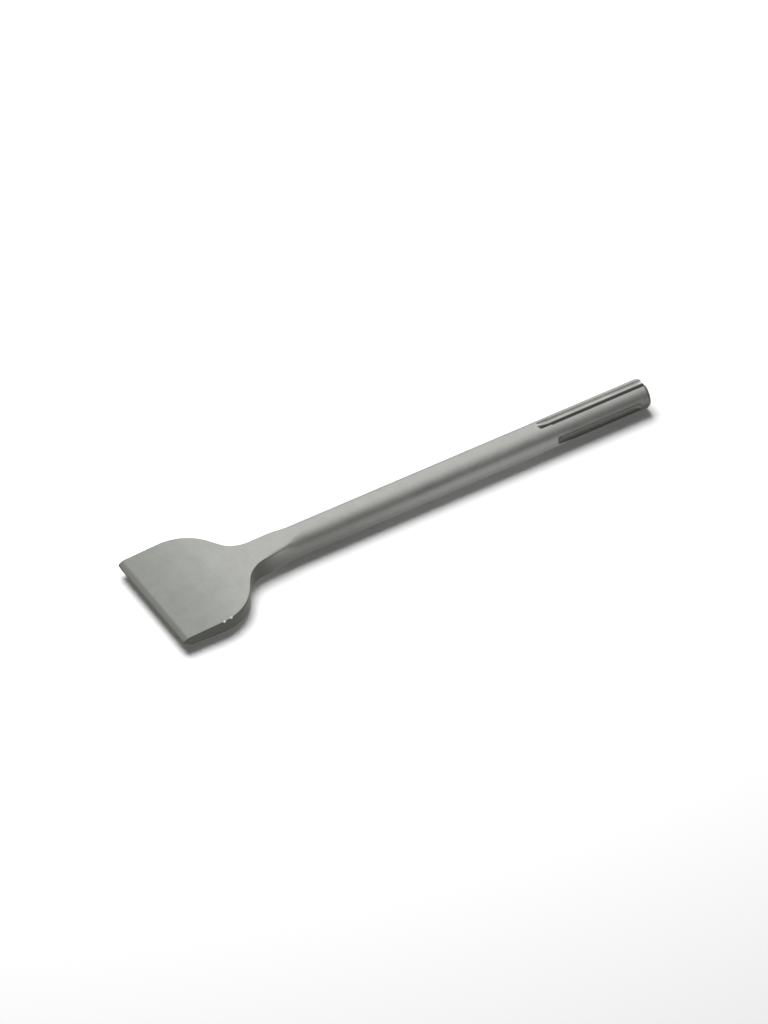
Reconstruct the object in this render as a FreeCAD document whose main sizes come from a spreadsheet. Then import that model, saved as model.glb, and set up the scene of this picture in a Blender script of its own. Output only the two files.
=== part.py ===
import FreeCAD, Part
import math
import os

import Sketcher

# Wide flat chisel for a hammer: one forging, from the cutting edge to the grooved shank.
# The body's own frame has its origin at the middle of the cutting edge, +X along the bar towards
# the shank, +Y across the blade and +Z up, square to the blade. Lengths are millimetres and
# angles are degrees.

os.makedirs("parts", exist_ok=True)
document = FreeCAD.newDocument("Chisel")

# Driving sizes: alias, value, what it measures
driving_sizes = [
    ("overall_length", "320", "cutting edge to striking face"),
    ("bar_diameter", "18", "round shaft and shank"),
    ("blade_width", "75", "across the parallel sides of the blade"),
    ("side_length", "25.5", "cutting edge to where the sides start to turn in"),
    ("shoulder_radius", "30", "convex curve of each shoulder"),
    ("flank_length", "7.1", "straight flank between the shoulder and the throat"),
    ("throat_radius", "17", "concave curve where the flank meets the bar"),
    ("blend_length", "21", "squared throat back to the round bar"),
    ("edge_drop", "1.65", "middle of the cutting edge below the bar's axis"),
    ("edge_land", "1.2", "height of the blunt land on the cutting edge"),
    ("bevel_angle", "31", "each edge bevel, off the axis"),
    ("face_height", "0.8", "upper face above the axis, at its bevel"),
    ("face_angle", "2.6", "rise of the upper face"),
    ("face_length", "47.5", "cutting edge to the foot of the upper ramp"),
    ("foot_radius", "110", "hollow curve at the foot of the ramp"),
    ("ramp_angle", "8.8", "rise of the ramp up to the bar"),
    ("ramp_past_throat", "6.5", "how far the ramp goes on behind the throat"),
    ("crest_radius", "120", "crown where the ramp eases off"),
    ("run_out_angle", "5.2", "rise of the face where it runs out of the bar's crown"),
    ("back_depth", "5.3", "underside below the axis, at its bevel"),
    ("back_angle", "2", "fall of the underside"),
    ("rim_radius", "0.6", "rounding of the blade's rims"),
    ("throat_corner_radius", "1", "lower corners of the squared throat"),
    ("end_chamfer_length", "1.8", "striking end chamfer, along the axis"),
    ("end_chamfer_depth", "1", "striking end chamfer, off the radius"),
    ("drive_width", "5.6", "drive groove, across"),
    ("drive_depth", "2.2", "drive groove, from the crown of the bar"),
    ("drive_length", "70", "drive groove, from the striking face"),
    ("drive_cutter_radius", "20", "run-out of the drive groove"),
    ("drive_spacing", "144", "upper drive groove to each lower one, round the axis"),
    ("lock_width", "5.6", "locking recess, across"),
    ("lock_depth", "2.2", "locking recess, from the side of the bar"),
    ("lock_inset", "6", "striking face to the near end of the recess"),
    ("lock_length", "55", "locking recess, along the axis"),
    ("lock_end_radius", "6", "curve at each end of the recess floor"),
    ("overcut", "2", "how far a cutting outline passes the bar"),
]

# Sizes worked out from the driving ones: alias, formula
worked_out_sizes = [
    ("bar_radius", "bar_diameter / 2"),
    ("half_width", "blade_width / 2"),
    ("curve_radii", "shoulder_radius + throat_radius"),
    ("narrowing", "half_width - bar_radius"),
    ("flank_turn", "acos((curve_radii - narrowing) / hypot(curve_radii; flank_length))"),
    ("flank_angle", "flank_turn - atan(flank_length / curve_radii)"),
    ("land_top", "edge_land / 2 - edge_drop"),
    ("land_bottom", "-edge_land / 2 - edge_drop"),
    ("shoulder_end_x", "side_length + shoulder_radius * sin(flank_angle)"),
    ("shoulder_end_y", "half_width - shoulder_radius * (1 - cos(flank_angle))"),
    ("throat_start_y", "bar_radius + throat_radius * (1 - cos(flank_angle))"),
    ("throat_start_x", "shoulder_end_x + (shoulder_end_y - throat_start_y) / tan(flank_angle)"),
    ("throat_x", "throat_start_x + throat_radius * sin(flank_angle)"),
    ("round_x", "throat_x + blend_length"),
    ("face_x", "(face_height - land_top) / tan(bevel_angle)"),
    ("foot_z", "face_height + (face_length - face_x) * tan(face_angle)"),
    ("ramp_x", "face_length + foot_radius * (sin(ramp_angle) - sin(face_angle))"),
    ("ramp_z", "foot_z + foot_radius * (cos(face_angle) - cos(ramp_angle))"),
    ("throat_top", "ramp_z + (throat_x - ramp_x) * tan(ramp_angle)"),
    ("crest_x", "throat_x + ramp_past_throat"),
    ("crest_z", "throat_top + ramp_past_throat * tan(ramp_angle)"),
    ("run_out_x", "crest_x + crest_radius * (sin(ramp_angle) - sin(run_out_angle))"),
    ("run_out_z", "crest_z + crest_radius * (cos(run_out_angle) - cos(ramp_angle))"),
    ("die_end_x", "run_out_x + (bar_radius + overcut - run_out_z) / tan(run_out_angle)"),
    ("back_x", "(land_bottom + back_depth) / tan(bevel_angle)"),
    ("throat_floor", "-back_depth - (throat_x - back_x) * tan(back_angle)"),
]

sizes = document.addObject("Spreadsheet::Sheet", "Sizes")
for row, (alias, number, meaning) in enumerate(driving_sizes, 1):
    sizes.set(f"A{row}", alias)
    sizes.set(f"B{row}", number)
    sizes.set(f"C{row}", meaning)
    sizes.setAlias(f"B{row}", alias)
for row, (alias, formula) in enumerate(worked_out_sizes, len(driving_sizes) + 2):
    sizes.set(f"A{row}", alias)
    sizes.set(f"B{row}", "=" + formula)
    sizes.setAlias(f"B{row}", alias)
document.recompute()

body = document.addObject("PartDesign::Body", "WideChisel")
body.Label = "wide_chisel"


def bound(text):
    """Formula text with every size's alias pointed at the sheet."""
    words = [alias for alias, *rest in driving_sizes + worked_out_sizes]
    pieces = text.split()
    return " ".join("Sizes." + piece if piece in words else piece for piece in pieces)


def value(text):
    result = sizes.evalExpression(bound(text))
    return float(getattr(result, "Value", result))


def origin_feature(role):
    return next(item for item in body.Origin.OriginFeatures if item.Role == role)


def new_sketch(name, role, along="0"):
    """Sketch on an origin plane, moved along that plane's normal."""
    sketch = body.newObject("Sketcher::SketchObject", name)
    sketch.AttachmentSupport = [(origin_feature(role), "")]
    sketch.MapMode = "FlatFace"
    sketch.AttachmentOffset = FreeCAD.Placement(FreeCAD.Vector(0, 0, value(along)), FreeCAD.Rotation())
    if along != "0":
        sketch.setExpression("AttachmentOffset.Base.z", bound(along))
    return sketch


def arc_between(start, end, radius, turn):
    """Arc of a given radius, turning left (1) or right (-1) on its way from start to end."""
    chord = end - start
    left = FreeCAD.Vector(-chord.y, chord.x, 0).normalize()
    rise = math.sqrt(max(radius**2 - (chord.Length / 2) ** 2, 0))
    centre = (start + end) * 0.5 + left * rise * turn
    first, last = (start, end) if turn > 0 else (end, start)
    circle = Part.Circle(centre, FreeCAD.Vector(0, 0, 1), radius)
    angles = [math.atan2(point.y - centre.y, point.x - centre.x) for point in (first, last)]
    return Part.ArcOfCircle(circle, *angles)


def pin_coordinate(sketch, kind, edge, end, text):
    """Ties one coordinate of a corner to its formula, or to the axis where it is nothing."""
    if text == "0":
        axis = -2 if kind == "DistanceX" else -1
        sketch.addConstraint(Sketcher.Constraint("PointOnObject", edge, end, axis))
        return
    number = sketch.addConstraint(Sketcher.Constraint(kind, -1, 1, edge, end, value(text)))
    sketch.setExpression(f"Constraints[{number}]", bound(text))


def draw_outline(sketch, corners):
    """Closed outline. A corner is (x, y), or (x, y, radius, turn) where an arc leaves it."""
    points = [FreeCAD.Vector(value(corner[0]), value(corner[1]), 0) for corner in corners]
    ends = []
    for index, corner in enumerate(corners):
        start, end = points[index], points[(index + 1) % len(points)]
        if len(corner) == 2:
            edge = sketch.addGeometry(Part.LineSegment(start, end))
            ends.append((edge, 1, 2))
            continue
        radius, turn = corner[2:]
        edge = sketch.addGeometry(arc_between(start, end, value(radius), turn))
        ends.append((edge, 1, 2) if turn > 0 else (edge, 2, 1))
        number = sketch.addConstraint(Sketcher.Constraint("Radius", edge, value(radius)))
        sketch.setExpression(f"Constraints[{number}]", bound(radius))
    for index, corner in enumerate(corners):
        edge, start, end = ends[index]
        previous = ends[index - 1]
        sketch.addConstraint(Sketcher.Constraint("Coincident", previous[0], previous[2], edge, start))
        pin_coordinate(sketch, "DistanceX", edge, start, corner[0])
        pin_coordinate(sketch, "DistanceY", edge, start, corner[1])


def add_feature(kind, name, profile):
    feature = body.newObject("PartDesign::" + kind, name)
    feature.Profile = profile
    profile.Visibility = False
    return feature


def add_copy(kind, name, original):
    """Pattern or mirror of the feature before it."""
    feature = body.newObject("PartDesign::" + kind, name)
    feature.Originals = [original]
    body.Tip = feature
    return feature


def cut_through(name, sketch, width=None):
    """Pocket both ways from the sketch, through everything or to a given width."""
    pocket = add_feature("Pocket", name, sketch)
    pocket.Midplane = True
    pocket.Type = "Length" if width else "ThroughAll"
    if width:
        pocket.Length = value(width)
        pocket.setExpression("Length", bound(width))
    return pocket


def make_blade():
    """Plan of the blade: parallel sides, round shoulders and flanks that run into the bar."""
    plan = new_sketch("BladePlan", "XY_Plane")
    draw_outline(plan, [
        ("0", "0"),
        ("throat_x", "0"),
        ("throat_x", "bar_radius", "throat_radius", -1),
        ("throat_start_x", "throat_start_y"),
        ("shoulder_end_x", "shoulder_end_y", "shoulder_radius", 1),
        ("side_length", "half_width"),
        ("0", "half_width"),
    ])
    half = add_feature("Pad", "HalfBlade", plan)
    half.Midplane = True
    half.Length = value("bar_diameter")
    half.setExpression("Length", bound("bar_diameter"))
    whole = add_copy("Mirrored", "WholeBlade", half)
    whole.MirrorPlane = (origin_feature("XZ_Plane"), [""])


def throat_corners():
    """The throat's squared section, anticlockwise from the upper right, as (y, z) formulas."""
    top = "throat_top"
    crown = "bar_radius - throat_top"
    corner = "throat_corner_radius"
    return [
        ("bar_radius", top, crown, 1),
        (top, "bar_radius"),
        ("-1 * throat_top", "bar_radius", crown, 1),
        ("-1 * bar_radius", top),
        ("-1 * bar_radius", "throat_floor + throat_corner_radius", corner, 1),
        ("throat_corner_radius - bar_radius", "throat_floor"),
        ("bar_radius - throat_corner_radius", "throat_floor", corner, 1),
        ("bar_radius", "throat_floor + throat_corner_radius"),
    ]


def round_corners(corners):
    """The same corners thrown out along their own rays to the round bar."""
    thrown = []
    for across, up, *rest in corners:
        ray = f"hypot( {across} ; {up} )"
        thrown.append((f"bar_radius * ( {across} ) / {ray}", f"bar_radius * ( {up} ) / {ray}", "bar_radius", 1))
    return thrown


def make_throat():
    """Blend from the squared throat to the round bar."""
    square = new_sketch("ThroatSection", "YZ_Plane", "throat_x")
    draw_outline(square, throat_corners())
    circle = new_sketch("RoundSection", "YZ_Plane", "round_x")
    draw_outline(circle, round_corners(throat_corners()))
    blend = add_feature("AdditiveLoft", "Throat", square)
    blend.Sections = [circle]
    blend.Ruled = True


def make_bar():
    """Round shaft and shank, turned about the axis, with the striking end chamfered."""
    section = new_sketch("BarSection", "XZ_Plane")
    draw_outline(section, [
        ("round_x", "0"),
        ("overall_length", "0"),
        ("overall_length", "bar_radius - end_chamfer_depth"),
        ("overall_length - end_chamfer_length", "bar_radius"),
        ("round_x", "bar_radius"),
    ])
    bar = add_feature("Revolution", "Bar", section)
    bar.ReferenceAxis = (section, ["H_Axis"])
    bar.Angle = 360


def press_faces():
    """Upper face, ramp and upper bevel in one pass, and underside and lower bevel in another."""
    upper = new_sketch("UpperDie", "XZ_Plane")
    draw_outline(upper, [
        ("-1 * overcut", "land_top"),
        ("0", "land_top"),
        ("face_x", "face_height"),
        ("face_length", "foot_z", "foot_radius", 1),
        ("ramp_x", "ramp_z"),
        ("crest_x", "crest_z", "crest_radius", -1),
        ("run_out_x", "run_out_z"),
        ("die_end_x", "bar_radius + overcut"),
        ("-1 * overcut", "bar_radius + overcut"),
    ])
    cut_through("UpperFace", upper)
    lower = new_sketch("LowerDie", "XZ_Plane")
    draw_outline(lower, [
        ("-1 * overcut", "land_bottom"),
        ("-1 * overcut", "-1 * bar_radius - overcut"),
        ("throat_x", "-1 * bar_radius - overcut"),
        ("throat_x", "throat_floor"),
        ("back_x", "-1 * back_depth"),
        ("0", "land_bottom"),
    ])
    cut_through("Underside", lower)


def make_drive_grooves():
    """Three open grooves for the hammer's drive keys: one on top and two below."""
    path = new_sketch("DrivePath", "XZ_Plane")
    floor = "bar_radius - drive_depth"
    run_out = "sqrt( drive_depth * ( 2 * drive_cutter_radius - drive_depth ) )"
    draw_outline(path, [
        ("overall_length - drive_length", "bar_radius", "drive_cutter_radius", 1),
        (f"overall_length - drive_length + {run_out}", floor),
        ("overall_length + overcut", floor),
        ("overall_length + overcut", "bar_radius + overcut"),
        ("overall_length - drive_length", "bar_radius + overcut"),
    ])
    groove = cut_through("DriveGroove", path, "drive_width")
    document.recompute()
    for name, backwards in (("DriveGrooveLeft", False), ("DriveGrooveRight", True)):
        turned = add_copy("PolarPattern", name, groove)
        turned.Axis = (origin_feature("X_Axis"), [""])
        turned.Reversed = backwards
        turned.Angle = value("drive_spacing")
        turned.setExpression("Angle", bound("drive_spacing"))
        turned.Occurrences = 2
        document.recompute()


def make_locking_recesses():
    """A closed recess on each side of the shank, where the hammer's locking bodies drop in."""
    path = new_sketch("LockPath", "XY_Plane")
    floor = "bar_radius - lock_depth"
    curve = "sqrt( lock_depth * ( 2 * lock_end_radius - lock_depth ) )"
    far_end = "overall_length - lock_inset - lock_length"
    near_end = "overall_length - lock_inset"
    draw_outline(path, [
        (far_end, "bar_radius", "lock_end_radius", 1),
        (f"{far_end} + {curve}", floor),
        (f"{near_end} - {curve}", floor, "lock_end_radius", 1),
        (near_end, "bar_radius"),
        (near_end, "bar_radius + overcut"),
        (far_end, "bar_radius + overcut"),
    ])
    recess = cut_through("LockRecess", path, "lock_width")
    document.recompute()
    opposite = add_copy("Mirrored", "LockRecessOpposite", recess)
    opposite.MirrorPlane = (origin_feature("XZ_Plane"), [""])


def rim_names(shape):
    """Edges where the blade's upright sides meet its upper face or its underside."""
    names = []
    margin = 0.01
    first = value("face_x") - margin
    last = value("throat_x") + margin
    outer = value("bar_radius") - margin
    for index, edge in enumerate(shape.Edges, 1):
        box = edge.BoundBox
        on_blade = first < box.XMin and box.XMax < last
        at_side = min(abs(box.YMin), abs(box.YMax)) > outer and box.YMin * box.YMax > 0
        if on_blade and at_side and box.XLength > box.ZLength:
            names.append(f"Edge{index}")
    return names


def round_rims():
    """Small rounding along the rims of the blade."""
    base = body.Tip
    rounding = body.newObject("PartDesign::Fillet", "Rims")
    rounding.Base = (base, rim_names(base.Shape))
    rounding.Radius = value("rim_radius")
    rounding.setExpression("Radius", bound("rim_radius"))


def lay_down():
    """Puts the origin on the striking face. The chisel lies on its bar, with the blade level."""
    body.Placement = FreeCAD.Placement(FreeCAD.Vector(-value("overall_length"), 0, 0), FreeCAD.Rotation())
    body.setExpression("Placement.Base.x", bound("-1 * overall_length"))


make_blade()
document.recompute()
make_throat()
document.recompute()
make_bar()
document.recompute()
press_faces()
document.recompute()
round_rims()
document.recompute()
make_drive_grooves()
make_locking_recesses()
document.recompute()
lay_down()
document.recompute()

for item in document.Objects:
    if "Invalid" in item.State or "Error" in item.State:
        raise RuntimeError(f"{item.Name} failed to build: {item.State}")
if body.Shape.isNull() or not body.Shape.isValid() or len(body.Shape.Solids) != 1:
    raise RuntimeError("the chisel is not one valid solid")
body.Shape.exportStep(f"parts/{body.Label}.step")
print(f"{body.Label}: {body.Shape.Volume / 1000:.2f} cm3")
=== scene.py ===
import math

import bpy
import numpy as np
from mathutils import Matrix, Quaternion, Vector


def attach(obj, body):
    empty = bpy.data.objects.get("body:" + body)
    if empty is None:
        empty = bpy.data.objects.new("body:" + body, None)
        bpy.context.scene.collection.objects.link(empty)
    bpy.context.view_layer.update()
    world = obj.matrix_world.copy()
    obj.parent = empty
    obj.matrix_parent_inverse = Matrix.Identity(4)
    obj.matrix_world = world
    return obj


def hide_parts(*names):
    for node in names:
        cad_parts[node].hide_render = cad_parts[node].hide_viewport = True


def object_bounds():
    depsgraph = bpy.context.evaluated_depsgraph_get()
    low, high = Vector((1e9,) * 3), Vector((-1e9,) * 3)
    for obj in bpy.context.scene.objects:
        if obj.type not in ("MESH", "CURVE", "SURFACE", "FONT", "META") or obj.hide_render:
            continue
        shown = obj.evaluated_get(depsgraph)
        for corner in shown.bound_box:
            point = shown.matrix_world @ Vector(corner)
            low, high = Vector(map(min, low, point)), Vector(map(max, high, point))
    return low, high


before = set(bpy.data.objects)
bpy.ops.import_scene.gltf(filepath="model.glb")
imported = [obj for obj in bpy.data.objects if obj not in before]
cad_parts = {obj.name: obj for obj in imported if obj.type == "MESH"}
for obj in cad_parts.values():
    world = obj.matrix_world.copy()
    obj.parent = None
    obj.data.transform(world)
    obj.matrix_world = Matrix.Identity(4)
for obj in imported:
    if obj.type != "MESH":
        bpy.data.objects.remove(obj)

cadBox = [list(corner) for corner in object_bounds()]
mm = 0.001

# Camera: a long lens above the near side, looking past the cutting edge
cameraSettings = {
    "azimuth": -27.98,               # degrees, 0 looks along +Y
    "elevation": 43.53,              # degrees above the floor
    "lean": 2.98,                    # degrees clockwise that the picture is turned
    "distance": 18.0,
    "pixelsPerMetre": 1786.0,
    "imageSize": (768, 1024),
    "edgePixel": (150.9, 602.4),     # where the axis meets the cutting edge
    "sensorWidth": 36.0,
    "clipStart": 0.1,
    "clipEnd": 400.0,
}


def makeCamera(settings):
    # back points from the object to the camera; right and up are the picture's own directions
    azimuth = math.radians(settings["azimuth"])
    elevation = math.radians(settings["elevation"])
    back = Vector((
        math.sin(azimuth) * math.cos(elevation),
        -math.cos(azimuth) * math.cos(elevation),
        math.sin(elevation),
    ))
    turned = (-back).to_track_quat("-Z", "Y") @ Quaternion((0, 0, 1), -math.radians(settings["lean"]))
    data = bpy.data.cameras.new("photoCamera")
    camera = bpy.data.objects.new("photoCamera", data)
    bpy.context.scene.collection.objects.link(camera)
    camera.rotation_mode = "QUATERNION"
    camera.rotation_quaternion = turned
    right = turned @ Vector((1, 0, 0))
    up = turned @ Vector((0, 1, 0))
    width, height = settings["imageSize"]
    column, row = settings["edgePixel"]
    scale = settings["pixelsPerMetre"]
    edgeCentre = Vector((cadBox[0][0], 0, 0))
    aim = edgeCentre + right * ((width / 2 - column) / scale) + up * ((row - height / 2) / scale)
    camera.location = aim + back * settings["distance"]
    data.sensor_width = settings["sensorWidth"]
    data.lens = settings["sensorWidth"] * settings["distance"] * scale / height
    data.clip_start = settings["clipStart"]
    data.clip_end = settings["clipEnd"]
    bpy.context.scene.camera = camera


makeCamera(cameraSettings)
print("camera set")


def toLinear(hexColour):
    # sRGB hex to linear: the straight part below 0.04045, the 2.4 power above it
    channels = [int(hexColour[i:i + 2], 16) / 255 for i in (1, 3, 5)]
    return [c / 12.92 if c <= 0.04045 else ((c + 0.055) / 1.055) ** 2.4 for c in channels] + [1.0]


def addNode(tree, kind, settings=None, inputs=None):
    # inputs: socket name or number to a plain value, or to another node's output socket
    node = tree.nodes.new(kind)
    for name, setting in (settings or {}).items():
        setattr(node, name, setting)
    for name, given in (inputs or {}).items():
        if isinstance(given, bpy.types.NodeSocket):
            tree.links.new(given, node.inputs[name])
        else:
            node.inputs[name].default_value = given
    return node


def newMaterial(name):
    material = bpy.data.materials.new(name)
    material.use_nodes = True
    material.node_tree.nodes.clear()
    return material, material.node_tree


# Studio: white sheet, a broad bright sky behind and right of the blade, a dim near side
studioSettings = {
    "sheetColour": "#FAFAFA",
    "sheetLift": 0.03,               # glow of the sheet for the camera, so that it reads as white
    "mirroredGlow": 0.66,            # even part of the sheet as the metal mirrors it
    "mirroredShare": 0.75,           # the rest is the lit and shadowed paper
    "sheetSize": 200.0,              # metres each way
    "skyTowards": (0.42, 0.61, 0.67),
    "skyDim": 0.36,
    "skyBright": 1.72,
    "skyOnSheet": 0.14,              # share of the sky that lights the sheet beside the softbox
    "skyRange": (-0.12, 0.9),        # cosine to the bright direction where the sky is dim and bright
    "softboxes": [
        # name, place, size, watts
        ("overheadSoftbox", (-0.15, 0.64, 1.25), 1.15, 30.0),
    ],
}


def makeSheet(settings):
    # matt white paper: plus a faint glow for the camera, mixed with an even glow where the metal
    # mirrors it, and plain for everything else
    floorHeight = cadBox[0][2]
    size = settings["sheetSize"]
    mesh = bpy.data.meshes.new("sheet")
    mesh.from_pydata(
        [(x * size, y * size, floorHeight) for x, y in ((-1, -1), (1, -1), (1, 1), (-1, 1))],
        [], [(0, 1, 2, 3)])
    sheet = bpy.data.objects.new("sheet", mesh)
    bpy.context.scene.collection.objects.link(sheet)
    material, tree = newMaterial("whitePaper")
    paper = addNode(tree, "ShaderNodeBsdfDiffuse", inputs={"Color": toLinear(settings["sheetColour"])})
    lift = addNode(tree, "ShaderNodeEmission", inputs={"Strength": settings["sheetLift"]})
    lifted = addNode(tree, "ShaderNodeAddShader", inputs={0: paper.outputs[0], 1: lift.outputs[0]})
    path = addNode(tree, "ShaderNodeLightPath")
    glow = addNode(tree, "ShaderNodeEmission", inputs={"Strength": settings["mirroredGlow"]})
    mirrored = addNode(tree, "ShaderNodeMixShader", inputs={
        0: settings["mirroredShare"], 1: paper.outputs[0], 2: glow.outputs[0]})
    forMetal = addNode(tree, "ShaderNodeMixShader", inputs={
        0: path.outputs["Is Glossy Ray"], 1: paper.outputs[0], 2: mirrored.outputs[0]})
    chosen = addNode(tree, "ShaderNodeMixShader", inputs={
        0: path.outputs["Is Camera Ray"], 1: forMetal.outputs[0], 2: lifted.outputs[0]})
    addNode(tree, "ShaderNodeOutputMaterial", inputs={"Surface": chosen.outputs[0]})
    mesh.materials.append(material)


def makeSky(settings):
    # brightness rises smoothly with the cosine between a direction and the bright one
    world = bpy.data.worlds.new("studioSky")
    world.use_nodes = True
    bpy.context.scene.world = world
    tree = world.node_tree
    tree.nodes.clear()
    direction = addNode(tree, "ShaderNodeTexCoord")
    towards = Vector(settings["skyTowards"]).normalized()
    cosine = addNode(tree, "ShaderNodeVectorMath", {"operation": "DOT_PRODUCT"},
                     {0: direction.outputs["Generated"], 1: towards})
    dark, bright = settings["skyRange"]
    level = addNode(tree, "ShaderNodeMapRange", {"interpolation_type": "SMOOTHSTEP"}, {
        "Value": cosine.outputs["Value"], "From Min": dark, "From Max": bright,
        "To Min": settings["skyDim"], "To Max": settings["skyBright"]})
    path = addNode(tree, "ShaderNodeLightPath")
    share = addNode(tree, "ShaderNodeMix", {"data_type": "FLOAT"}, {
        0: path.outputs["Is Glossy Ray"], 2: settings["skyOnSheet"], 3: 1.0})
    lit = addNode(tree, "ShaderNodeMath", {"operation": "MULTIPLY"}, {
        0: level.outputs[0], 1: share.outputs[0]})
    seen = addNode(tree, "ShaderNodeMix", {"data_type": "FLOAT"}, {
        0: path.outputs["Is Camera Ray"], 2: lit.outputs[0], 3: 1.0})
    sky = addNode(tree, "ShaderNodeBackground", inputs={"Strength": seen.outputs[0]})
    addNode(tree, "ShaderNodeOutputWorld", inputs={"Surface": sky.outputs[0]})


def addSoftbox(name, place, size, watts):
    data = bpy.data.lights.new(name, "AREA")
    data.shape = "DISK"
    data.size = size
    data.energy = watts
    light = bpy.data.objects.new(name, data)
    bpy.context.scene.collection.objects.link(light)
    light.location = place
    light.visible_glossy = False     # the metal doesn't mirror the softbox
    middle = Vector((cadBox[0][0] / 2, 0, 0))
    light.rotation_mode = "QUATERNION"
    light.rotation_quaternion = (middle - Vector(place)).to_track_quat("-Z", "Y")


makeSheet(studioSettings)
makeSky(studioSettings)
for softbox in studioSettings["softboxes"]:
    addSoftbox(*softbox)
print("studio set")

# Chisel: millimetres, x from the cutting edge along the bar, y across the blade, z square to it
chiselShape = {
    "length": (cadBox[1][0] - cadBox[0][0]) / mm,
    "barRadius": -cadBox[0][2] / mm,
    "halfBlade": (cadBox[1][1] - cadBox[0][1]) / mm / 2,
    "sideLength": 25.5,
    "shoulderRadius": 30.0,
    "throatRadius": 17.0,
    "flankLength": 7.1,
    "blendLength": 21.0,
    "edgeDrop": 1.65,
    "edgeLand": 1.2,
    "bevelAngle": 31.0,
    "faceHeight": 0.8,
    "faceAngle": 2.6,
    "faceLength": 47.5,
    "footRadius": 110.0,
    "rampAngle": 8.8,
    "rampPastThroat": 6.5,
    "crestRadius": 120.0,
    "runOutAngle": 5.2,
    "backDepth": 5.3,
    "backAngle": 2.0,
    "rimRound": 0.6,
    "throatRound": 1.9,              # worn top corners of the throat
    "throatLowerRound": 1.0,
    "throatLowerFrom": 55.0,         # where the lower corners start to round more
    "throatWearFrom": 62.0,          # where the worn top corners start
    "throatWearFull": 7.0,           # past the throat, where they stop growing
    "throatWearFade": (5.0, 4.0),    # past the throat and past the round, where they fade and end
    "rimRoundLoss": 0.5,             # share of the rim's round that is lost along the blend
    "crownMargin": 1.0,              # added to the round over the throat's crown
    "creaseRound": 0.8,              # between the upper bevel and the face
    "edgeRound": 0.22,
    "nearCornerRound": 0.4,
    "farCornerRound": 1.0,
    "cornerReach": (4.0, 1.0),       # from the blade's side, where a corner's round starts and is full
    "chamferLength": 1.8,
    "chamferDepth": 1.0,
    "endRound": 0.2,
    "grooveWidth": 5.6,
    "grooveDepth": 2.2,
    "lipRound": 0.22,
    "driveLength": 70.0,
    "driveCutterRadius": 20.0,
    "driveAngles": (90, -54, -126),  # degrees from +Y towards +Z
    "lockAngles": (0, 180),
    "lockInset": 6.0,
    "lockLength": 55.0,
    "lockEndRadius": 6.0,
    "forgingWave": 0.035,            # how uneven the forged faces are
    "rimWear": 0.8,                  # how much more the near shoulder's rim is rounded
    "rimWearRise": (27.0, 34.0),     # from the cutting edge, where that wear grows
    "rimWearFall": (43.0, 50.0),     # and where it fades
    "slopeStep": 0.01,               # over which the outlines' slopes are measured
    "nicks": [
        # x, y, height above the rim, radius
        (26.4, -37.3, 0.15, 0.6),
        (31.3, -36.7, 0.15, 0.7),
    ],
}


def slope(degrees):
    return math.tan(math.radians(degrees))


def keyPoints(s):
    # corners of the plan and of the two pressed profiles, worked out from the sizes above
    radii = s["shoulderRadius"] + s["throatRadius"]
    narrowing = s["halfBlade"] - s["barRadius"]
    turn = math.acos((radii - narrowing) / math.hypot(radii, s["flankLength"]))
    flank = turn - math.atan(s["flankLength"] / radii)
    p = {"flank": flank}
    p["shoulderX"] = s["sideLength"] + s["shoulderRadius"] * math.sin(flank)
    p["shoulderY"] = s["halfBlade"] - s["shoulderRadius"] * (1 - math.cos(flank))
    p["throatY"] = s["barRadius"] + s["throatRadius"] * (1 - math.cos(flank))
    p["flankX"] = p["shoulderX"] + (p["shoulderY"] - p["throatY"]) / math.tan(flank)
    p["throatX"] = p["flankX"] + s["throatRadius"] * math.sin(flank)
    p["roundX"] = p["throatX"] + s["blendLength"]
    p["landTop"] = s["edgeLand"] / 2 - s["edgeDrop"]
    p["landBottom"] = -s["edgeLand"] / 2 - s["edgeDrop"]
    p["faceX"] = (s["faceHeight"] - p["landTop"]) / slope(s["bevelAngle"])
    p["footZ"] = s["faceHeight"] + (s["faceLength"] - p["faceX"]) * slope(s["faceAngle"])
    face, ramp, out = (math.radians(s[name]) for name in ("faceAngle", "rampAngle", "runOutAngle"))
    p["rampX"] = s["faceLength"] + s["footRadius"] * (math.sin(ramp) - math.sin(face))
    p["rampZ"] = p["footZ"] + s["footRadius"] * (math.cos(face) - math.cos(ramp))
    p["crestX"] = p["throatX"] + s["rampPastThroat"]
    p["crestZ"] = p["rampZ"] + (p["crestX"] - p["rampX"]) * math.tan(ramp)
    p["runOutX"] = p["crestX"] + s["crestRadius"] * (math.sin(ramp) - math.sin(out))
    p["runOutZ"] = p["crestZ"] + s["crestRadius"] * (math.cos(out) - math.cos(ramp))
    p["backX"] = (p["landBottom"] + s["backDepth"]) / slope(s["bevelAngle"])
    p["floorZ"] = -s["backDepth"] - (p["throatX"] - p["backX"]) * slope(s["backAngle"])
    return p


points = keyPoints(chiselShape)


def arcHeight(x, centreX, radius):
    # height of a circle's top above its centre at x
    return np.sqrt(np.maximum(radius**2 - (x - centreX)**2, 0))


def halfWidth(x, s=chiselShape, p=points):
    # plan: straight side, convex shoulder arc, straight flank, concave throat arc, then the bar
    shoulder = s["halfBlade"] - s["shoulderRadius"] + arcHeight(x, s["sideLength"], s["shoulderRadius"])
    flank = p["shoulderY"] - (x - p["shoulderX"]) * math.tan(p["flank"])
    throat = s["barRadius"] + s["throatRadius"] - arcHeight(x, p["throatX"], s["throatRadius"])
    return np.select(
        [x < s["sideLength"], x < p["shoulderX"], x < p["flankX"], x < p["throatX"]],
        [s["halfBlade"], shoulder, flank, throat], s["barRadius"])


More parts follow.
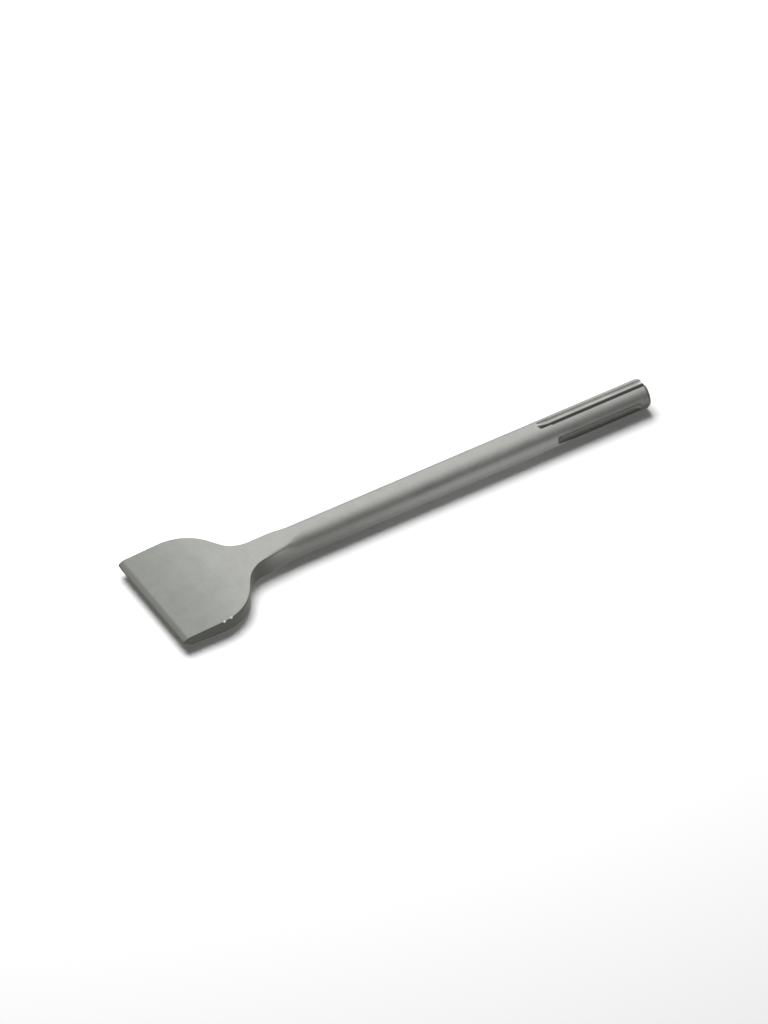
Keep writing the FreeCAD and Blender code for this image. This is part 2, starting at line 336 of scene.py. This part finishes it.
def upperHeight(x, s=chiselShape, p=points):
    # upper profile: bevel, face, hollow arc, ramp, crown arc, run-out
    face, ramp, out = (math.radians(s[name]) for name in ("faceAngle", "rampAngle", "runOutAngle"))
    bevel = p["landTop"] + x * slope(s["bevelAngle"])
    flat = s["faceHeight"] + (x - p["faceX"]) * math.tan(face)
    footX = s["faceLength"] - s["footRadius"] * math.sin(face)
    foot = p["footZ"] + s["footRadius"] * math.cos(face) - arcHeight(x, footX, s["footRadius"])
    rise = p["rampZ"] + (x - p["rampX"]) * math.tan(ramp)
    crownX = p["crestX"] + s["crestRadius"] * math.sin(ramp)
    crown = p["crestZ"] - s["crestRadius"] * math.cos(ramp) + arcHeight(x, crownX, s["crestRadius"])
    runOut = p["runOutZ"] + (x - p["runOutX"]) * math.tan(out)
    return np.select(
        [x < p["faceX"], x < s["faceLength"], x < p["rampX"], x < p["crestX"], x < p["runOutX"]],
        [bevel, flat, foot, rise, crown], runOut)


def lowerHeight(x, s=chiselShape, p=points):
    # lower profile: bevel, underside, and level behind the throat
    bevel = p["landBottom"] - x * slope(s["bevelAngle"])
    under = -s["backDepth"] - (x - p["backX"]) * slope(s["backAngle"])
    return np.select([x < p["backX"], x < p["throatX"]], [bevel, under], p["floorZ"])


def smoothStep(x, start, end):
    t = np.clip((x - start) / (end - start), 0, 1)
    return t * t * (3 - 2 * t)


def roundedMax(a, b, radius):
    # the larger of two distances, with their meeting edge rounded to the radius
    corner = np.hypot(np.maximum(a + radius, 0), np.maximum(b + radius, 0))
    return np.minimum(np.maximum(a, b), -radius) + corner


def forgedWave(x, y):
    # unevenness of a forged face: two long waves multiplied, plus a share of a finer one
    longAlong, longAcross = 6.1, 8.3
    crossAlong, crossAcross = 9.7, 5.2
    fineAlong, fineAcross, fineShift, fineShare = 2.9, 3.7, 1.3, 0.6
    longWaves = np.sin(x / longAlong + y / longAcross) * np.sin(y / crossAcross - x / crossAlong)
    return longWaves + fineShare * np.sin(x / fineAlong - y / fineAcross + fineShift)


def nickDistance(x, y, z, nickX, nickY, above):
    # distance from a nick's centre, which lies above the upper profile
    nickZ = float(upperHeight(np.array(nickX))) + above
    return np.sqrt((x - nickX)**2 + (y - nickY)**2 + (z - nickZ)**2)


def driveFloor(x, s=chiselShape):
    # groove floor above the axis: a cutter's arc down to the full depth, then level to the end
    depth, cutter = s["grooveDepth"], s["driveCutterRadius"]
    start = s["length"] - s["driveLength"]
    levelX = start + math.sqrt(depth * (2 * cutter - depth))
    floor = s["barRadius"] - depth
    runOut = floor + cutter - arcHeight(x, levelX, cutter)
    return np.select([x < levelX - cutter, x < levelX], [s["length"], runOut], floor)


def lockFloor(x, s=chiselShape):
    # recess floor above the axis: level between two end arcs
    depth, curve = s["grooveDepth"], s["lockEndRadius"]
    nearEnd = s["length"] - s["lockInset"]
    farEnd = nearEnd - s["lockLength"]
    run = math.sqrt(depth * (2 * curve - depth))
    floor = s["barRadius"] - depth
    fromLevel = np.maximum(np.maximum(farEnd + run - x, x - nearEnd + run), 0)
    return np.where(fromLevel < curve, floor + curve - arcHeight(fromLevel, 0, curve), s["length"])


def chiselField(x, y, z, s=chiselShape, p=points):
    # signed distance, near enough: below 0 inside. Faces are joined by rounded maxima, and
    # grooves and nicks are taken away
    step = s["slopeStep"]
    sideCos = 1 / np.hypot(1, (halfWidth(x + step) - halfWidth(x - step)) / (2 * step))
    onFace = np.maximum(x, p["faceX"] + step)
    topCos = 1 / np.hypot(1, (upperHeight(onFace + step) - upperHeight(onFace - step)) / (2 * step))
    radius = np.hypot(y, z)
    onBlade = 1 - smoothStep(x, p["throatX"], p["roundX"])
    wave = s["forgingWave"] * onBlade * forgedWave(x, y)
    side = (np.abs(y) - halfWidth(x)) * sideCos
    under = lowerHeight(x) - z + wave
    lowerGrowth = smoothStep(x, s["throatLowerFrom"], p["throatX"])
    lowerRound = s["rimRound"] + (s["throatLowerRound"] - s["rimRound"]) * lowerGrowth
    squared = roundedMax(side, under, lowerRound)
    crownRound = s["barRadius"] - p["crestZ"] + s["crownMargin"]
    squared = roundedMax(squared, z - s["barRadius"], crownRound)
    blend = np.clip((x - p["throatX"]) / s["blendLength"], 0, 1)
    bar = squared * (1 - blend) + (radius - s["barRadius"]) * blend
    pastThroat, pastRound = s["throatWearFade"]
    faded = smoothStep(x, p["throatX"] + pastThroat, p["roundX"] + pastRound)
    worn = smoothStep(x, s["throatWearFrom"], p["throatX"] + s["throatWearFull"]) * (1 - faded)
    upperRound = s["rimRound"] * (1 - s["rimRoundLoss"] * blend)
    upperRound = upperRound + (s["throatRound"] - s["rimRound"]) * worn
    nearWear = s["rimWear"] * (y < 0) * smoothStep(x, *s["rimWearRise"])
    upperRound = upperRound + nearWear * (1 - smoothStep(x, *s["rimWearFall"]))
    top = (z - upperHeight(np.maximum(x, p["faceX"]))) * topCos + wave
    bevel = (z - p["landTop"] - x * slope(s["bevelAngle"])) * math.cos(math.radians(s["bevelAngle"]))
    top = roundedMax(top, bevel, s["creaseRound"])
    body = roundedMax(bar, top, upperRound)

    for angles, floor in ((s["driveAngles"], driveFloor(x)), (s["lockAngles"], lockFloor(x))):
        for angle in angles:
            alongY, alongZ = math.cos(math.radians(angle)), math.sin(math.radians(angle))
            out = y * alongY + z * alongZ
            across = np.abs(z * alongY - y * alongZ)
            inside = np.minimum(s["grooveWidth"] / 2 - across, out - floor)
            body = roundedMax(body, inside, s["lipRound"])

    chamferX = s["length"] - s["chamferLength"]
    chamferSlope = s["chamferDepth"] / s["chamferLength"]
    cone = (radius - s["barRadius"] + (x - chamferX) * chamferSlope) / math.hypot(1, chamferSlope)
    body = roundedMax(body, cone, s["endRound"])
    body = roundedMax(body, x - s["length"], s["endRound"])

    cornerStart, cornerFull = s["cornerReach"]
    atSide = smoothStep(np.abs(y), s["halfBlade"] - cornerStart, s["halfBlade"] - cornerFull)
    cornerRound = np.where(y > 0, s["farCornerRound"], s["nearCornerRound"])
    body = roundedMax(body, -x, s["edgeRound"] + (cornerRound - s["edgeRound"]) * atSide)

    for nickX, nickY, above, nickRadius in s["nicks"]:
        body = np.maximum(body, nickRadius - nickDistance(x, y, z, nickX, nickY, above))
    return body


# Surface mesh: where the sections lie and how the rays of a ring are spread, lengths in millimetres
surfaceMesh = {
    "fromEdge": [0, 0.03, 0.08, 0.15, 0.25, 0.4, 0.6, 0.85, 1.15, 1.5, 2, 2.5],
    "beforeEnd": [1.0, 0.7, 0.4, 0.22, 0.12, 0.05, 0.01, 0],
    "creaseReach": 0.4,
    "chamferReach": 0.5,
    "creaseCount": 7,
    "betweenCreases": 3.9,
    "sideStart": 6.0,
    "sideStep": 1.0,
    "bladeStep": 0.62,
    "shaftStart": 110.0,
    "shaftStep": 2.4,
    "runOutMargins": (2.0, 12.0),    # before and past the start of the drive grooves
    "runOutStep": 0.5,
    "shankStep": 1.2,
    "recessMargins": (1.0, 6.0),     # outside and inside a recess's ends
    "recessStep": 0.35,
    "chamferMargin": 0.6,
    "decimals": 3,
    "closest": 0.008,
    "fanCrowding": 0.83,
    "fanCounts": (19, 17, 19),
    "bandPlaces": [0, 0.33, 0.6, 0.8, 0.9, 0.955, 0.985],
    "bladeCounts": (24, 15, 8, 13),  # rays on the top, upper corner, side and lower corner
    "roundFrom": 50.0,
    "insetAcross": (2.5, 2.0),       # on the blade, and what the bar adds
    "insetThin": (1.3, 0.42),        # most on the blade, and its share of a thin section
    "insetBar": 4.5,
    "bladeReach": 9.0,
    "barReach": 12.0,
    "changeMargin": 15.0,
    "endInset": 1e-4,
    "halvings": 20,
    "sharpAngle": 38.0,              # degrees between faces, above which an edge is drawn sharp
}


def stationPlaces(s=chiselShape, p=points, m=surfaceMesh):
    # where the sections lie, closest at creases, groove ends and the chamfer
    def near(place, reach):
        spread = np.linspace(-1, 1, m["creaseCount"])
        return place + reach * spread * np.abs(spread)

    driveX = s["length"] - s["driveLength"]
    lockNear = s["length"] - s["lockInset"]
    lockFar = lockNear - s["lockLength"]
    chamferX = s["length"] - s["chamferLength"]
    beforeDrive, pastDrive = m["runOutMargins"]
    outside, inside = m["recessMargins"]
    groups = [
        m["fromEdge"],
        near(p["faceX"], m["creaseReach"]),
        [m["betweenCreases"]],
        near(p["backX"], m["creaseReach"]),
        np.arange(m["sideStart"], s["sideLength"], m["sideStep"]),
        np.arange(s["sideLength"], m["shaftStart"], m["bladeStep"]),
        np.arange(m["shaftStart"], driveX - beforeDrive, m["shaftStep"]),
        np.arange(driveX - beforeDrive, driveX + pastDrive, m["runOutStep"]),
        np.arange(driveX + pastDrive, lockNear - inside, m["shankStep"]),
        np.arange(lockFar - outside, lockFar + inside, m["recessStep"]),
        np.arange(lockNear - inside, chamferX - m["chamferMargin"], m["recessStep"]),
        near(chamferX, m["chamferReach"]),
        [s["length"] - before for before in m["beforeEnd"]],
    ]
    places = np.unique(np.round(np.concatenate(groups), m["decimals"]))
    keep = np.concatenate([[True], np.diff(places) > m["closest"]])
    return places[keep]


def fanAngles(start, end, count):
    # angles from start to end, crowded at both, without the two ends themselves
    t = np.linspace(0, 1, count + 2)[1:-1]
    crowded = t - surfaceMesh["fanCrowding"] * np.sin(2 * np.pi * t) / (2 * np.pi)
    return start + (end - start) * crowded


def barLines(s=chiselShape, m=surfaceMesh):
    # half a ring of rays, clockwise from the top: square to a groove's floor inside its band,
    # and fanned out from where two bands' walls would meet
    half = s["grooveWidth"] / 2
    drives, locks = s["driveAngles"], s["lockAngles"]
    directions = np.radians([drives[0], locks[0], drives[1], drives[2]])
    normals = np.stack([np.sin(directions), -np.cos(directions)], axis=1)
    centres = []
    for first, second in ((0, 1), (1, 2), (2, 3)):
        sides = np.array([normals[first], -normals[second]])
        centres.append(np.linalg.solve(sides, [half, half]))
    before = [np.array([-centres[0][0], centres[0][1]])] + centres[:2]
    positions = np.array(m["bandPlaces"])
    both = np.concatenate([-positions[:0:-1], positions])
    origins, angles = [], []
    for band in range(3):
        places = positions if band == 0 else both
        share = (places[:, None] + 1) / 2
        origins.append(before[band] + (centres[band] - before[band]) * share)
        angles.append(np.full(len(places), directions[band]))
        count = m["fanCounts"][band]
        fan = fanAngles(directions[band], directions[band + 1], count)
        if band == 2:
            fan = fan[:count // 2 + 1]
        origins.append(np.tile(centres[band], (len(fan), 1)))
        angles.append(fan)
    return np.concatenate(origins), np.concatenate(angles)


def bladeLines(total):
    # half a ring as (across, up) of an inner rectangle from -1 to 1, with each ray's angle. The
    # underside takes the rays that the other stretches leave
    counts = list(surfaceMesh["bladeCounts"])
    counts.append(total - sum(counts))
    quarter = math.pi / 2
    across = [np.linspace(0, 1, counts[0] + 1)[:-1], np.ones(counts[1] + counts[2] + counts[3]),
              np.linspace(1, 0, counts[4] + 1)[1:]]
    up = [np.ones(counts[0] + counts[1]), np.linspace(1, -1, counts[2] + 2)[1:-1],
          -np.ones(counts[3] + counts[4])]
    angles = [np.full(counts[0], quarter), np.linspace(quarter, 0, counts[1]), np.zeros(counts[2]),
              np.linspace(0, -quarter, counts[3]), np.full(counts[4], -quarter)]
    return np.concatenate(across), np.concatenate(up), np.concatenate(angles)


def chiselRings(s=chiselShape, p=points, m=surfaceMesh):
    # ring points (station, line, xyz) in millimetres. Each is where the field turns from inside to
    # outside along a ray from an inner point, found by halving
    x = stationPlaces()[:, None]
    origins, barAngles = barLines()
    across, up, bladeAngles = bladeLines(len(barAngles))
    top, bottom = upperHeight(x), lowerHeight(x)
    top = np.minimum(top, s["barRadius"])
    rounding = smoothStep(x, m["roundFrom"], p["roundX"])
    insetBlade, insetAdded = m["insetAcross"]
    insetMost, insetShare = m["insetThin"]
    insetY = insetBlade + insetAdded * rounding
    insetZ = np.minimum(insetMost, insetShare * (top - bottom)) * (1 - rounding) + m["insetBar"] * rounding
    middle = (top + bottom) / 2
    bladeY = across * (halfWidth(x) - insetY)
    bladeZ = middle + up * ((top - bottom) / 2 - insetZ)
    driveX = s["length"] - s["driveLength"]
    toBar = smoothStep(x, p["roundX"] + m["changeMargin"], driveX - m["changeMargin"])
    innerY = bladeY * (1 - toBar) + origins[:, 0] * toBar
    innerZ = bladeZ * (1 - toBar) + origins[:, 1] * toBar
    outerY = (bladeY + m["bladeReach"] * np.cos(bladeAngles)) * (1 - toBar)
    outerY = outerY + (origins[:, 0] + m["barReach"] * np.cos(barAngles)) * toBar
    outerZ = (bladeZ + m["bladeReach"] * np.sin(bladeAngles)) * (1 - toBar)
    outerZ = outerZ + (origins[:, 1] + m["barReach"] * np.sin(barAngles)) * toBar
    # the other half ring, mirrored, without the two lines on the middle plane
    mirrored = slice(-2, 0, -1)
    innerY, outerY = (np.concatenate([half, -half[:, mirrored]], axis=1) for half in (innerY, outerY))
    innerZ, outerZ = (np.concatenate([half, half[:, mirrored]], axis=1) for half in (innerZ, outerZ))
    inBody = np.clip(x, m["endInset"], s["length"] - m["endInset"])
    wide = np.broadcast_to(inBody, innerY.shape)
    low, high = np.zeros_like(innerY), np.ones_like(innerY)
    for halving in range(m["halvings"]):
        share = (low + high) / 2
        tryY = innerY + (outerY - innerY) * share
        tryZ = innerZ + (outerZ - innerZ) * share
        outside = chiselField(wide, tryY, tryZ) > 0
        high = np.where(outside, share, high)
        low = np.where(outside, low, share)
    share = (low + high) / 2
    return np.stack([np.broadcast_to(x, innerY.shape),
                     innerY + (outerY - innerY) * share,
                     innerZ + (outerZ - innerZ) * share], axis=2)


def ringFaces(stations, lines):
    # quads between neighbouring rings, turned so that they face outwards
    ring = np.arange(stations - 1)[:, None] * lines
    line = np.arange(lines)[None, :]
    following = (line + 1) % lines
    nextRing = ring + lines
    quads = np.stack([ring + line, nextRing + line, nextRing + following, ring + following], axis=2)
    return quads.reshape(-1, 4)


# Where each finish, painted shade and painted light lies on the chisel, in millimetres
finishPlaces = {
    "faceShadeFade": (5.0, 64.0),      # along the bar, where the face's painted shade starts to fade and ends
    "bevelFade": (-0.6, 0.5),        # from the crease of the upper bevel
    "bevelDepth": 0.3,               # below the top of the land
    "wallInset": (0.75, 0.3),        # in from the side, where the side wall's painted shade starts and is full
    "wallToBar": (62.0, 84.0),
    "landDepth": 0.15,
    "landLength": 2.0,
    "edgeLength": 0.1,
    "shaftShade": 0.5,
    "shaftShadeHeights": (1.0, 6.0),
    "shaftShadeFade": (95.0, 200.0),
    "shankFade": 1.0,
    "chamferGap": 0.05,
    "runOutLength": 9.0,
    "runOutDepth": 1.4,
    "driveHeight": 6.0,              # above the axis only the upper drive groove is cut
    "mouthMargin": 0.1,
    "grooveShadeNear": (-3.4, -3.0),
    "grooveShadeFar": (0.3, 1.0),
    "grooveHighlightNear": (0.8, 1.4),
    "grooveHighlightEdge": 2.95,
    "darkerShankBottomStart": (257.0, 272.0),
    "darkerShankBottomHeights": (-4.0, 8.0),
    "recessHeight": 5.0,
    "recessFoot": (-2.6, 0.0),
    "nickFade": 0.5,
}


def finishValues(x, y, z, s=chiselShape, p=points, f=finishPlaces):
    # from 0 to 1, how far each finish, painted shade and painted light covers each point
    driveX = s["length"] - s["driveLength"]
    chamferX = s["length"] - s["chamferLength"]
    below = s["barRadius"] - np.hypot(y, z)
    shank = smoothStep(x, driveX - f["shankFade"], driveX + f["shankFade"])
    onRing = x < chamferX - f["chamferGap"]
    cut = np.clip(below / s["grooveDepth"], 0, 1) * shank * onRing
    pastRunOut = x > driveX + f["runOutLength"]
    high = z > f["driveHeight"]
    inDrive = high * shank * np.maximum(np.clip(below / f["runOutDepth"], 0, 1), pastRunOut)
    openEnd = high * (np.abs(y) < s["grooveWidth"] / 2 + f["mouthMargin"])
    width = halfWidth(x)
    wallStart, wallFull = f["wallInset"]
    wall = smoothStep(np.abs(y), width - wallStart, width - wallFull)
    land = np.maximum((z < p["landTop"] - f["landDepth"]) * (x < f["landLength"]), x < f["edgeLength"])
    onBar = smoothStep(x, *f["wallToBar"])
    # painted shade on the lower shaft behind the throat, fading along the bar
    shaftShade = f["shaftShade"] * (1 - smoothStep(z, *f["shaftShadeHeights"]))
    shaftShade = shaftShade * (1 - smoothStep(x, *f["shaftShadeFade"]))
    nicked = np.zeros_like(x)
    for nickX, nickY, above, nickRadius in s["nicks"]:
        away = nickDistance(x, y, z, nickX, nickY, above)
        nicked = np.maximum(nicked, 1 - smoothStep(away, nickRadius, nickRadius + f["nickFade"]))
    beforeCrease, pastCrease = f["bevelFade"]
    onBevel = 1 - smoothStep(x, p["faceX"] + beforeCrease, p["faceX"] + pastCrease)
    inRecess = cut * (z < f["recessHeight"])
    return {
        # painted shade: the face darker near the cutting edge, for the weaker reflection there
        "faceShade": 1 - smoothStep(x, *f["faceShadeFade"]),
        "bevel": onBevel * (z > p["landTop"] - f["bevelDepth"]),
        # painted shade on the blade's side walls, the land under the cutting edge and the lower shaft
        # behind the throat
        "scale": np.maximum(wall * (1 - onBar) + shaftShade * onBar, land),
        # painted shade: a dark line in the upper drive groove beside its near wall
        "grooveShade": inDrive * smoothStep(y, *f["grooveShadeNear"]) * (1 - smoothStep(y, *f["grooveShadeFar"])),
        # painted highlight on the far part of the upper drive groove's floor and its far wall
        "grooveHighlight": inDrive * (y < f["grooveHighlightEdge"]) * smoothStep(y, *f["grooveHighlightNear"]),
        # the shank darker towards its bottom, from past the drive grooves' start up to the chamfer
        "darkerShankBottom": onRing * smoothStep(x, *f["darkerShankBottomStart"]) * (1 - smoothStep(z, *f["darkerShankBottomHeights"])),
        # painted shade inside the locking recesses and lower drive grooves, and painted light at their
        # lower part
        "recess": inRecess,
        "recessFoot": inRecess * (1 - smoothStep(z, *f["recessFoot"])),
        "nicked": nicked,
        "endRing": (x > chamferX) * (1 - openEnd),
    }


def makeChisel():
    rings = chiselRings()
    stations, lines = rings.shape[:2]
    vertices = rings.reshape(-1, 3)
    # one flat face closes each end
    first = list(range(lines))
    last = list(range(len(vertices) - 1, len(vertices) - 1 - lines, -1))
    faces = ringFaces(stations, lines).tolist() + [first, last]
    placed = vertices * mm + np.array([cadBox[0][0], 0, 0])
    mesh = bpy.data.meshes.new("forgedChisel")
    mesh.from_pydata(placed.tolist(), [], faces)
    mesh.update()
    mesh.shade_smooth()
    mesh.set_sharp_from_angle(angle=math.radians(surfaceMesh["sharpAngle"]))
    for name, numbers in finishValues(*vertices.T).items():
        attribute = mesh.attributes.new(name, "FLOAT", "POINT")
        attribute.data.foreach_set("value", numbers.astype(np.float32))
    chisel = bpy.data.objects.new("forgedChisel", mesh)
    bpy.context.scene.collection.objects.link(chisel)
    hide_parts("wide_chisel")
    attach(chisel, "root")
    print("chisel surface:", len(vertices), "points,", len(faces), "faces")
    return chisel


chisel = makeChisel()

# Blasted forged steel: matt grey with a fine even grain, bright where knocks have rubbed it. Painted
# shade darkens the face, the side walls, the land, the lower shaft behind the throat, the recesses, the
# lower drive grooves and a line in the upper drive groove. Painted light brightens that groove and the
# recesses' foot, and the shank is darker towards its bottom
steelLook = {
    "barColour": "#A8A9A5",
    # attribute on the chisel, its colour, and the attribute's values where it starts and is full
    "finishes": [
        # painted shade on the face, darkest near the cutting edge
        ("faceShade", "#8D8F8A", 0.0, 1.0),
        ("bevel", "#7E8079", 0.0, 1.0),
        # painted shade: the blade's side walls, the land and the lower shaft behind the throat
        ("scale", "#666760", 0.0, 1.0),
        # the shank darker towards its bottom
        ("darkerShankBottom", "#5A5A56", 0.0, 1.0),
        # painted shade inside the locking recesses and lower drive grooves
        ("recess", "#747470", 0.05, 0.8),
        # painted light at the lower part of the recesses and lower drive grooves
        ("recessFoot", "#B4B4B0", 0.0, 0.8),
        # painted highlight in the upper drive groove
        ("grooveHighlight", "#E6E6E2", 0.0, 1.0),
        # painted shade beside the upper drive groove's near wall
        ("grooveShade", "#3E3E3C", 0.1, 0.6),
        ("nicked", "#E6E6E2", 0.0, 1.0),
        ("endRing", "#6C6C69", 0.0, 1.0),
    ],
    "roughness": 0.42,
    "roughnessSpread": (-0.04, 0.06),
    "noiseRange": (0.3, 0.7),        # the middle of both noises, which the tones below are spread over
    "blotchTones": (0.9, 1.06),
    "grainTones": (0.93, 1.06),
    "grainSize": 0.55,               # mm, coarser than the real 0.1 mm grit so that it shows
    "grainDetail": 3.0,
    "blotchSize": 9.0,               # mm
    "blotchDetail": 4.0,
    "noiseRoughness": 0.6,
    "grainHeight": 0.02,             # mm
}


def makeSteel(look):
    # colour: the bar's, mixed with each finish, painted shade and painted light in turn by its share, times
    # the blotch noise and the grain noise. Roughness follows the blotches, and the grain is also the relief
    material, tree = newMaterial("blastedForgedSteel")
    place = addNode(tree, "ShaderNodeTexCoord").outputs["Object"]
    grain = addNode(tree, "ShaderNodeTexNoise", inputs={
        "Vector": place, "Scale": 1 / (look["grainSize"] * mm),
        "Detail": look["grainDetail"], "Roughness": look["noiseRoughness"]})
    blotch = addNode(tree, "ShaderNodeTexNoise", inputs={
        "Vector": place, "Scale": 1 / (look["blotchSize"] * mm),
        "Detail": look["blotchDetail"], "Roughness": look["noiseRoughness"]})
    finished = toLinear(look["barColour"])
    for attribute, colour, start, full in look["finishes"]:
        where = addNode(tree, "ShaderNodeAttribute", {"attribute_name": attribute})
        share = addNode(tree, "ShaderNodeMapRange", inputs={
            "Value": where.outputs["Fac"], "From Min": start, "From Max": full})
        mixed = addNode(tree, "ShaderNodeMix", {"data_type": "RGBA"}, {
            0: share.outputs[0], 6: finished, 7: toLinear(colour)})
        finished = mixed.outputs[2]
    low, high = look["noiseRange"]
    dark, light = look["blotchTones"]
    shade = addNode(tree, "ShaderNodeMapRange", inputs={
        "Value": blotch.outputs["Fac"], "From Min": low, "From Max": high, "To Min": dark, "To Max": light})
    dark, light = look["grainTones"]
    speckle = addNode(tree, "ShaderNodeMapRange", inputs={
        "Value": grain.outputs["Fac"], "From Min": low, "From Max": high, "To Min": dark, "To Max": light})
    both = addNode(tree, "ShaderNodeMath", {"operation": "MULTIPLY"}, {
        0: shade.outputs[0], 1: speckle.outputs[0]})
    colour = addNode(tree, "ShaderNodeVectorMath", {"operation": "SCALE"}, {
        0: finished, "Scale": both.outputs[0]})
    smoother, rougher = look["roughnessSpread"]
    rough = addNode(tree, "ShaderNodeMapRange", inputs={
        "Value": blotch.outputs["Fac"], "From Min": low, "From Max": high,
        "To Min": look["roughness"] + smoother, "To Max": look["roughness"] + rougher})
    bump = addNode(tree, "ShaderNodeBump", inputs={
        "Strength": 1.0, "Distance": look["grainHeight"] * mm, "Height": grain.outputs["Fac"]})
    shader = addNode(tree, "ShaderNodeBsdfPrincipled", inputs={
        "Base Color": colour.outputs[0], "Metallic": 1.0, "Roughness": rough.outputs[0],
        "Normal": bump.outputs[0]})
    addNode(tree, "ShaderNodeOutputMaterial", inputs={"Surface": shader.outputs[0]})
    return material


chisel.data.materials.append(makeSteel(steelLook))
print("steel finished")

bpy.context.scene.view_settings.view_transform = "Standard"
